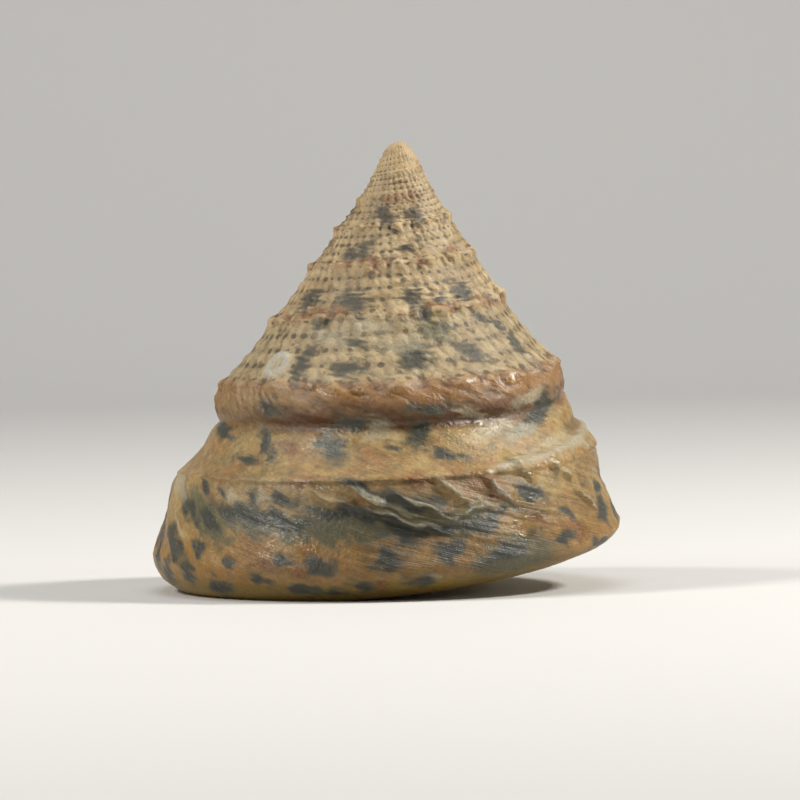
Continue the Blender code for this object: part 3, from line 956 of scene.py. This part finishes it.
height += grown * growth_lines * lined * size["Growth line height"]
height += stored("torn") * (grain(here, 0.6) * 0.5 + 0.9) * size["Torn ridge height"]
height += stored("shelf") * (unevenness * 0.3 + 1.0) * size["Shelf height"]
tell("lamellae and torn ridges", tree)

# %% [markdown]
# ## Outline, base and pitting
# The outline of the front swells a little under the ledge on both sides and on the left shoulder. The base has
# spiral cords, the whole surface is finely pitted, and the apex is worn, so the relief fades out there and the
# tip is rounded.

# %% Outline, base and pitting
LEFT_EDGE_MM, RIGHT_EDGE_MM, RIGHT_HOLLOW_MM = 0.5, 0.4, 0.3
PITTING_MM = 0.05
TIP_SWELL_MM = 0.22
left_edge = window(-0.62, -0.56, -0.5, -0.44, turns)
right_edge = window(-1.12, -1.04, -0.98, -0.9, turns)
height += left_edge * bump(down - 0.5, 0.24) * on_wall * LEFT_EDGE_MM
right_profile = bump(down - 0.46, 0.12) * RIGHT_EDGE_MM - bump(down - 0.7, 0.1) * RIGHT_HOLLOW_MM
height += right_edge * right_profile * on_wall
shoulder = window(0.36, 0.42, 0.52, 0.6, turns) * window(0.0, 0.05, 0.12, 0.3, down)
height += shoulder * on_wall * size["Left shoulder height"]
rim_cord = bump(down - 1.27, 0.035) + bump(down - 1.16, 0.03) * 0.5
cords = wave((down - 1.0) * 20.0) * window(1.3, 1.4, 1.93, 1.99, down)
height += on_base * (cords + rim_cord * 1.2) * size["Base cord height"]
pitting = grain(here, 1.7, 3.0) + bump(grain(here, 0.9), 0.05) * -0.8
height += (1.0 - given_here) * pitting * PITTING_MM * (1.0 - in_pit)
height *= smooth(-7.6, -7.0, turns)
height += fall(-7.2, -6.2, turns) * bump(down - 0.5, 0.5) * TIP_SWELL_MM
tell("outline, base and pitting", tree)

# %% [markdown]
# ## A worm's tube
# A small worm has left its chalky ring on the spire, just above the ledge on the front left. It is a low torus
# round a fixed point of the surface, so its height depends on the distance from that point alone.

# %% The ring on the spire
TUBE_GROWTH = -1.609
TUBE_ACROSS = 0.65
TUBE_RADIUS_MM = 1.2
tube_r, tube_z = wall_at(TUBE_GROWTH, TUBE_ACROSS)
tube_turn = -2.0 * math.pi * TUBE_GROWTH
tube_place = (tube_r * math.cos(tube_turn), tube_r * math.sin(tube_turn), tube_z)
from_tube = Reading(tree, on_vectors(tree, "DISTANCE", here, tube_place).outputs["Value"])
tube = bump(from_tube - TUBE_RADIUS_MM, 0.45) + bump(from_tube, 0.8) * 0.35
height += tube * size["Worm tube height"]
print("worm tube:", round(tube_r, 1), "mm from the axis,", round(-tube_z, 1), "mm below the apex")

# %% [markdown]
# ## Raised, leaned and blunted
# The relief, the torn edges and the ring are kept as attributes, because the paint follows them. Then the
# surface is raised along its normal and leaned, and it is moved so that the middle of its box is at the
# origin. A soft ceiling blunts the tip, and a floor at zero makes the flat places that it stands on.

# %% From relief to the standing shell
LEAN_FORWARD_DEG = 3.4
LEAN_RIGHT_DEG = 1.5
MIDDLE_MM = (-2.0318, 3.2798, -44.5033)
BLUNT_FROM_MM = 44.42
BLUNTNESS_MM2 = 0.04
edge = at_most(smooth(0.5, 0.75, tooth + 0.3) * tiled * 0.4 + smooth(0.72, 1.0, stored("torn")), 1.0)
kept = bare.outputs[0]
for name, value in (("relief", height), ("edge", edge), ("tube", at_most(tube, 1.0))):
    sockets = {"Geometry": kept, "Name": name, "Value": value}
    kept = add_node(tree, "GeometryNodeStoreNamedAttribute", {"data_type": "FLOAT"}, sockets).outputs[0]
normal = add_node(tree, "GeometryNodeInputNormal").outputs[0]
lift = on_vectors(tree, "SCALE", normal, height)
raised = add_node(tree, "GeometryNodeSetPosition", sockets={"Geometry": kept, "Offset": lift.outputs[0]})


def leaned(place, axis, degrees):
    sockets = {"Vector": place, "Angle": math.radians(degrees)}
    return add_node(tree, "ShaderNodeVectorRotate", {"rotation_type": axis}, sockets).outputs[0]


stands = leaned(leaned(here, "X_AXIS", LEAN_FORWARD_DEG), "Y_AXIS", LEAN_RIGHT_DEG)
moved = on_vectors(tree, "SUBTRACT", stands, MIDDLE_MM)
parts = add_node(tree, "ShaderNodeSeparateXYZ", sockets={0: moved.outputs[0]})
x, y, z = (Reading(tree, parts.outputs[i]) for i in range(3))
over = z - BLUNT_FROM_MM
z = at_least(z - (over + (over * over + BLUNTNESS_MM2) ** 0.5) * 0.5, 0.0)
stood = add_node(tree, "GeometryNodeSetPosition", sockets={
    "Geometry": raised.outputs[0], "Position": joined(tree, x * 0.001, y * 0.001, z * 0.001)})
rounded = add_node(tree, "GeometryNodeSetShadeSmooth", sockets={"Geometry": stood.outputs[0]})
realized = add_node(tree, "GeometryNodeRealizeInstances", sockets={0: rounded.outputs[0]})
finished = add_node(tree, "GeometryNodeSetMaterial", sockets={
    "Geometry": realized.outputs[0], "Material": entry.outputs["Material"]})
leave = tree.nodes.new("NodeGroupOutput")
tree.links.new(finished.outputs[0], leave.inputs["Shell"])
print(len(tree.nodes), "nodes in the shell's tree")

# %% [markdown]
# ## Growing it
# The sizes go in by socket identifier before the net is first evaluated. The result is then kept as a plain
# mesh and the modifier goes away, so the shell is one closed piece at the origin, with its place in its mesh.

# %% Grow it
shell_material = bpy.data.materials.new("shell")
modifier = net_object.modifiers.new("grow", "NODES")
modifier.node_group = tree
for name, value in sizes.items():
    modifier[size_keys[name]] = value
modifier[material_socket.identifier] = shell_material
evaluated = net_object.evaluated_get(bpy.context.evaluated_depsgraph_get())
mesh = bpy.data.meshes.new_from_object(evaluated)
net_object.modifiers.remove(modifier)
bpy.data.objects.remove(net_object)
mesh.name = "top shell"
shell = bpy.data.objects.new("top_shell", mesh)
link(shell)
mesh.calc_loop_triangles()
print("shell:", len(mesh.vertices), "vertices,", len(mesh.loop_triangles), "triangles")

# %% [markdown]
# ## The shell's colours
# Lime is white; what shows is pigment, stain and wear, and in places painted shade and painted highlight. The
# spire is cream with dark pits between the beads and rust on the nodules, the ledge is terracotta, and the last
# whorls are tan with slate marks. The growth map tells the shader where it is on the shell, and noise in
# millimetres does the rest. Fine ridges along the growth lines are too small for the mesh, so they are bump,
# and they catch the light as small glints.

# %% Shader helpers
shell_material.use_nodes = True
paint_tree = shell_material.node_tree
surface = paint_tree.nodes["Principled BSDF"]


def colour(code):
    """A screen colour such as b09060, as the renderer's linear colour."""
    screen = [int(code[i:i + 2], 16) / 255.0 for i in (0, 2, 4)]
    return [v / 12.92 if v <= 0.04045 else ((v + 0.055) / 1.055) ** 2.4 for v in screen] + [1.0]


def blend(share, under, over):
    """under where share is 0, over where it is 1; both are links or screen colours."""
    node = add_node(paint_tree, "ShaderNodeMix", {"data_type": "RGBA"})
    for value, place in ((share, 0), (under, 6), (over, 7)):
        plug(paint_tree, colour(value) if isinstance(value, str) else value, node.inputs[place])
    return node.outputs[2]


def layered(ground, *layers):
    """The ground under layers of (share, colour), each over the one before."""
    for share, over in layers:
        ground = blend(share, ground, over)
    return ground


def painted(name):
    node = add_node(paint_tree, "ShaderNodeAttribute", {"attribute_name": name})
    return Reading(paint_tree, node.outputs["Fac"])


def speckle(place, scale, detail=3.0, kind="3D"):
    """Noise from about 0 to 1."""
    return noise(paint_tree, place, scale, detail, 0.6, kind)


print("a colour in the renderer's light:", [round(v, 3) for v in colour("b09060")])

# %% [markdown]
# ## Where on the shell
# Colour on a shell depends on when it was laid down, so most of the masks here are windows in growth and
# across. Noise in millimetres breaks them up. Streaks and striae are noise stretched along the growth lines.

# %% Noise and masks
STREAKS_PER_TURN = 40.0
MM_IN_A_METRE = 1000.0
object_place = add_node(paint_tree, "ShaderNodeTexCoord").outputs["Object"]
in_mm = on_vectors(paint_tree, "SCALE", object_place, MM_IN_A_METRE).outputs[0]
map_node = add_node(paint_tree, "ShaderNodeUVMap", {"uv_map": "growth map"})
map_parts = add_node(paint_tree, "ShaderNodeSeparateXYZ", sockets={0: map_node.outputs[0]})
across_here = Reading(paint_tree, map_parts.outputs[1])
growth_here = Reading(paint_tree, map_parts.outputs[0]) + at_least(1.0 - across_here, 0.0) * LEAD
coarse = speckle(in_mm, 0.22)
middling = speckle(in_mm, 0.9)
fine = speckle(in_mm, 3.5)
clouds_wide = speckle(in_mm, 0.14)
on_base_here = smooth(1.25, 1.4, across_here)
spire_here = fall(-1.4, -1.15, growth_here)
grown_here = 1.0 - spire_here
last_here = smooth(-0.16, 0.02, growth_here)
ledge_top = smooth(0.84, 0.95, across_here + (middling - 0.5) * 0.12)
ledge_top = ledge_top * window(-2.15, -2.0, -1.4, -1.25, growth_here)
ledge_here = fall(0.2, 0.45, across_here + (coarse - 0.5) * 0.25) * collar(growth_here)
ledge_here = at_most(ledge_here + ledge_top, 1.0)
slanted = (growth_here - (1.0 - across_here) * LAMELLA_LEAD) * STREAKS_PER_TURN
streaks = speckle(joined(paint_tree, slanted * 1.6 + coarse * 1.5, across_here * 2.2, 0.0), 1.0, 4.0, "2D")
striae = speckle(joined(paint_tree, slanted * 7.0 + coarse * 3.0, across_here * 3.0, 0.0), 1.0, 3.0, "2D")
striated = window(-0.02, 0.08, 0.24, 0.34, growth_here) * smooth(0.42, 0.6, clouds_wide) * 0.65 + 0.15
tell("masks", paint_tree)

# %% [markdown]
# ## Ground colours
# Under the marks lies cream on the spire and tan below it, with salmon and grey clouds a few millimetres wide.
# One flat colour would look like plaster, so each ground is mixed from four or five near ones.

# %% Ground colours
blotches = speckle(in_mm, 0.31)
clouds = speckle(in_mm, 0.55)
patches = speckle(in_mm, 1.4, 4.0)
cream = layered(
    blend(smooth(0.38, 0.62, coarse), "b39d7a", "cfba96"),
    (smooth(0.5, 0.64, middling) * 0.5, "8f7b5b"),
    (smooth(0.52, 0.68, clouds) * 0.5, "b5946e"),
    (fall(-6.6, -5.2, growth_here) * 0.45, "cfb48c"),
    (smooth(-2.8, -1.8, growth_here) * 0.35, "a99c7e"),
)
tan = layered(
    blend(smooth(0.38, 0.62, coarse), "957850", "b4996c"),
    (smooth(0.45, 0.66, streaks) * 0.5, "c6ab7b"),
    (smooth(0.5, 0.66, blotches) * 0.45, "ab7a55"),
    (smooth(0.5, 0.66, clouds) * 0.5, "7d7352"),
)
warm_low = smooth(0.45, 0.8, across_here) * last_here * (1.0 - on_base_here)
bottom_cord = smooth(1.08, 1.13, across_here) * (1.0 - on_base_here)
ground = layered(
    blend(spire_here, tan, cream),
    (smooth(0.53, 0.68, patches) * 0.4 * grown_here, "5f4c33"),
    (fall(0.32, 0.47, patches) * 0.4 * grown_here, "cdb389"),
    (warm_low * 0.45, "aa7d42"),
    (bottom_cord * 0.75, "8f7838"),
    (on_base_here, blend(smooth(0.4, 0.6, middling), "bfa877", "cdbd92")),
)
tell("ground colours", paint_tree)

# %% [markdown]
# ## Stain on the spire, rust on the nodules
# Dirt has settled in the pits between the beads, and the nodules are rusty. Both are drawn with ragged noise
# added before the threshold, so no edge is smooth.

# %% Stain and rust
ragged = (fine - 0.5) * 0.5 + (middling - 0.5) * 1.2 + (streaks - 0.5) * 0.5 * grown_here
olive_here = smooth(0.02, 0.65, painted("olive") + ragged)
between = 0.5 - wave(bead_phase(growth_here, across_here) + (clouds - 0.5) * 1.2) * 0.5
row_gap = (0.5 + wave(across_here * (BEAD_ROWS / BEADED_SHARE)) * 0.5) ** 2.0
pits = smooth(0.42, 0.86, between * row_gap + (blotches - 0.5) * 2.0 + (middling - 0.5) * 0.9)
pits = pits * spire_here * smooth(-7.4, -6.4, growth_here)
dirt = smooth(0.5, 0.66, middling) * smooth(0.46, 0.62, clouds) * spire_here * smooth(-6.6, -5.2, growth_here)
nodular = (smooth(0.84, 0.96, across_here) + fall(0.02, 0.1, across_here)) * smooth(-6.6, -4.5, growth_here)
nodular = nodular * spire_here * smooth(0.45, 0.58, middling + (coarse - 0.5) * 0.8)
rusty = at_most(smooth(0.15, 0.9, painted("rust") + ragged) * 0.7 + nodular * 0.45, 0.8)
ground = layered(
    ground,
    (olive_here * 0.88, blend(streaks, "4c503d", "6e6b4b")),
    (pits * 0.8, "43371f"),
    (dirt * 0.65, "554634"),
    (rusty, blend(smooth(0.35, 0.65, fine), "573723", "9c6a45")),
)
tell("stain and rust", paint_tree)

# %% [markdown]
# ## The ledge and the slate marks
# The ledge is terracotta and paler on its left. Its upper part gets a painted highlight, and its lower part and
# the hollow under it get painted shade. The slate marks have an olive halo, and they turn from brown at the
# apex to blue-grey on the last whorls.

# %% The ledge and the slate marks
terracotta = blend(smooth(0.4, 0.6, clouds), "6a4330", "8f6a4a")
# Painted highlight: the upper part of the ledge is made paler.
terracotta = blend(fall(0.1, 0.3, across_here) * grown_here * 0.6, terracotta, "a9835b")
left_of_ledge = window(-0.72, -0.6, -0.45, -0.35, growth_here)
front_ledge = window(-0.95, -0.85, -0.66, -0.58, growth_here)
# Where painted shade falls in the hollow under the ledge.
under_ledge = smooth(0.22, 0.34, across_here + (clouds - 0.5) * 0.2) * fall(0.44, 0.52, across_here)
slate_here = painted("slate") + ragged * 0.7
brown_slate = blend(smooth(-4.3, -2.6, growth_here), "38271a", "302e29")
dark = blend(smooth(-2.4, -1.8, growth_here), brown_slate, blend(coarse, "1e2725", "2b2d21"))
ground = layered(
    ground,
    (ledge_here * 0.85, blend(smooth(0.48, 0.64, middling), terracotta, "a68461")),
    # Painted shade on the lower part of the ledge.
    (smooth(0.1, 0.3, across_here) * ledge_here * grown_here * 0.5, "5c3d2a"),
    (ledge_here * left_of_ledge * smooth(0.36, 0.52, clouds) * 0.75, "a08866"),
    # Painted shade in the hollow under the ledge, strongest in front.
    (under_ledge * collar(growth_here) * (front_ledge * 0.55 + 0.35), "55351f"),
    (smooth(0.02, 0.5, slate_here) * 0.7, "625d48"),
    (smooth(0.22, 0.82, slate_here) * 0.92, blend(streaks * 0.25, dark, "6f705e")),
)
tell("ledge and slate marks", paint_tree)

# %% [markdown]
# ## Chalk, wear, painted light and shade, and mother-of-pearl
# Torn edges and worn places show bare lime, which is chalky and pale. Hollows of the relief get painted shade
# and crests on the spire a painted highlight: the tree kept its relief as an attribute, so the shader knows
# which is which. Inside the mouth the shell is mother-of-pearl.

# %% Chalk, wear, painted light and shade, and the mother-of-pearl inside
relief = painted("relief")
inside = painted("given")
torn_edge = smooth(0.5, 0.9, painted("edge") + (fine - 0.5) * 0.4)
chalk = at_most(smooth(0.2, 0.95, painted("pale") + ragged * 0.8) * 0.6 + torn_edge * 0.5, 0.9)
ground = layered(
    ground,
    (chalk, blend(fine, "aba287", "d5ccb2")),
    # Painted shade in the hollows of the relief, on the last whorls and on the spire.
    (fall(-0.18, -0.02, relief) * 0.5 * grown_here, "4b3a26"),
    (fall(-0.10, 0.01, relief) * 0.45 * spire_here, "54432c"),
    # Painted highlight on the crests of the spire's relief.
    (smooth(0.06, 0.24, relief) * 0.25 * spire_here, "dfcaa2"),
    (painted("shelf") * 0.8, blend(fine, "a09a86", "cfc8b4")),
    (painted("tube") * 0.9, blend(fine, "a9a79b", "dedcd2")),
    (inside, blend(smooth(0.4, 0.6, coarse), "d9d3c6", "c7d0c2")),
)
SATURATION = 1.16
BRIGHTNESS = 0.845
# Painted shade: the front of the last whorl is made darker over a window in growth.
painted_front_shade = window(0.08, 0.18, 0.32, 0.44, growth_here) * (1.0 - on_base_here)
value = BRIGHTNESS - painted_front_shade * 0.24 + (striae - 0.5) * striated * 0.5 + (fine - 0.5) * 0.45
shade = add_node(paint_tree, "ShaderNodeHueSaturation", {}, {
    "Color": ground, "Saturation": SATURATION, "Value": value})
plug(paint_tree, shade.outputs[0], surface.inputs["Base Color"])
tell("chalk, wear and mother-of-pearl", paint_tree)

# %% [markdown]
# ## Gloss and fine relief
# The shell is satin, and wet-looking where it is finely pitted. Those places get a low roughness and gentle
# facets a few tenths of a millimetre wide, each of which mirrors the lamp or misses it, and that is what
# glitters. Pores and striae are bump everywhere else.

# %% Gloss and fine relief
DRY_ROUGHNESS = 0.52
PEARL_ROUGHNESS = 0.22
SPECULAR_LEVEL = 0.65
BUMP_UNIT_M = 1.0 / MM_IN_A_METRE
glint = smooth(0.05, 0.6, painted("glint") + (middling - 0.5) * 0.8)
rough = DRY_ROUGHNESS - glint * 0.42 + (fine - 0.5) * 0.3 - at_most(ledge_here + grown_here, 1.0) * 0.12
rough = at_most(at_least(mixed(inside, rough, PEARL_ROUGHNESS), 0.14), 0.8)
plug(paint_tree, rough, surface.inputs["Roughness"])
surface.inputs["Specular IOR Level"].default_value = SPECULAR_LEVEL
pores = speckle(in_mm, 2.4, 4.0)
grains = speckle(in_mm, 7.0, 2.0)
facets = speckle(in_mm, 1.5, 3.0)
sparkle = speckle(in_mm, 3.6, 2.0)
small = (striae - 0.5) * striated * grown_here * 0.3 + (grains - 0.5) * 0.03
small += (pores - 0.5) * (0.12 - glint * 0.1)
small += (facets - 0.5) * (0.1 - glint * 0.04) + (sparkle - 0.5) * glint * 0.08
small *= 1.0 - inside * 0.9
bumped = add_node(paint_tree, "ShaderNodeBump", {}, {"Strength": 1.0, "Distance": BUMP_UNIT_M, "Height": small})
plug(paint_tree, bumped.outputs[0], surface.inputs["Normal"])
print(len(paint_tree.nodes), "nodes in the shell's material")

# %% [markdown]
# ## Floor
# A pale sheet that curves up behind the shell, so there is no horizon to see. It is staging, and isn't part of
# the shell.

# %% Floor and backdrop
FLOOR_FRONT_M, FLOOR_BACK_M, FLOOR_HALF_WIDTH_M = -0.8, 0.5, 1.5
CURVE_RADIUS_M = 0.25
BACKDROP_TOP_M = 1.2
FLOOR_ALBEDO = (0.68, 0.67, 0.655, 1.0)
FLOOR_ROUGHNESS = 0.8
profile = [(FLOOR_FRONT_M, 0.0)]
for bend in np.linspace(0.0, math.pi / 2.0, 16):
    profile.append((FLOOR_BACK_M + CURVE_RADIUS_M * math.sin(bend), CURVE_RADIUS_M * (1.0 - math.cos(bend))))
profile.append((FLOOR_BACK_M + CURVE_RADIUS_M, BACKDROP_TOP_M))
stage_mesh = bpy.data.meshes.new("floor")
bm = bmesh.new()
left_side, right_side = (
    [bm.verts.new((side * FLOOR_HALF_WIDTH_M, back, up)) for back, up in profile] for side in (-1.0, 1.0))
for i in range(len(profile) - 1):
    bm.faces.new([left_side[i], right_side[i], right_side[i + 1], left_side[i + 1]])
bm.to_mesh(stage_mesh)
bm.free()
stage_mesh.shade_smooth()
floor = bpy.data.objects.new("floor", stage_mesh)
link(floor)
floor_material = bpy.data.materials.new("floor")
floor_material.use_nodes = True
floor_surface = floor_material.node_tree.nodes["Principled BSDF"]
floor_surface.inputs["Base Color"].default_value = FLOOR_ALBEDO
floor_surface.inputs["Roughness"].default_value = FLOOR_ROUGHNESS
stage_mesh.materials.append(floor_material)
print("floor:", len(stage_mesh.polygons), "faces")

# %% [markdown]
# ## Lights
# The shell was lit from both sides and its front is the darker for it, so two soft boxes stand to the left and
# the right, above it. Three small weak ones are there for the glints: the pitted places mirror them. A wide
# light overhead is for the sheet.

# %% Lights
WHITE = (1.0, 1.0, 1.0)
WARM_WHITE = (1.0, 0.97, 0.91)
SHELL_MIDDLE = Vector((0.0, 0.0, 0.02))
LAMPS = (
    # Name, azimuth from the camera's side, elevation, distance in metres, side in metres, watts, colour.
    ("left key", -76.0, 42.0, 0.5, 0.08, 1.1, WARM_WHITE),
    ("right key", 84.0, 40.0, 0.5, 0.08, 2.4, WARM_WHITE),
    ("upper left spark", -60.0, 34.0, 0.5, 0.03, 0.24, WARM_WHITE),
    ("lower left spark", -55.0, 16.0, 0.5, 0.03, 0.24, WARM_WHITE),
    ("right spark", 67.0, 17.0, 0.5, 0.03, 0.24, WARM_WHITE),
    ("backdrop", 180.0, 84.0, 0.9, 0.6, 3.2, WHITE),
)
BACKDROP_TILT_DEG = 42.0
SKY_TINT = (0.95, 0.97, 1.0, 1.0)
SKY_STRENGTH = 0.11
world = bpy.data.worlds.new("studio")
bpy.context.scene.world = world
world.use_nodes = True
sky = world.node_tree.nodes["Background"]
sky.inputs["Color"].default_value = SKY_TINT
sky.inputs["Strength"].default_value = SKY_STRENGTH
for name, azimuth, elevation, distance, side, watts, tint in LAMPS:
    data = bpy.data.lights.new(name, "AREA")
    data.size = side
    data.energy = watts
    data.color = tint
    lamp = bpy.data.objects.new(name, data)
    a, e = math.radians(azimuth), math.radians(elevation)
    from_shell = Vector((math.sin(a) * math.cos(e), -math.cos(a) * math.cos(e), math.sin(e)))
    lamp.location = SHELL_MIDDLE + distance * from_shell
    lamp.rotation_euler = (-from_shell).to_track_quat("-Z", "Y").to_euler()
    link(lamp)
bpy.data.objects["backdrop"].rotation_euler = (math.radians(BACKDROP_TILT_DEG), 0.0, 0.0)
bpy.context.scene.view_settings.view_transform = "Standard"
print(len(LAMPS), "lamps")

# %% [markdown]
# ## Camera
# A long lens, almost level with the shell and turned by a degree. At this distance a pixel is 0.1 mm.

# %% Camera
CAMERA_DISTANCE_M = 0.6
PICTURE_WIDTH_M = 0.08
CAMERA_ELEVATION_DEG = 2.1
CAMERA_ROLL_DEG = -1.05
AIM = Vector((0.00162, 0.0, 0.01860))
camera_data = bpy.data.cameras.new("camera")
camera_data.sensor_width = 36.0
camera_data.sensor_fit = "HORIZONTAL"
camera_data.lens = camera_data.sensor_width * CAMERA_DISTANCE_M / PICTURE_WIDTH_M
camera = bpy.data.objects.new("camera", camera_data)
link(camera)
bpy.context.scene.camera = camera
e = math.radians(CAMERA_ELEVATION_DEG)
turned = Matrix.Rotation(math.pi / 2.0 - e, 4, "X") @ Matrix.Rotation(math.radians(CAMERA_ROLL_DEG), 4, "Z")
place = AIM + CAMERA_DISTANCE_M * Vector((0.0, -math.cos(e), math.sin(e)))
camera.matrix_world = Matrix.Translation(place) @ turned
print("camera at", [round(v, 3) for v in place], "m")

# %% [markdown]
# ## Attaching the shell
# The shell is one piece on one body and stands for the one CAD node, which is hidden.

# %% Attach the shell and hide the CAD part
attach(shell, "root")
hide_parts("shell")
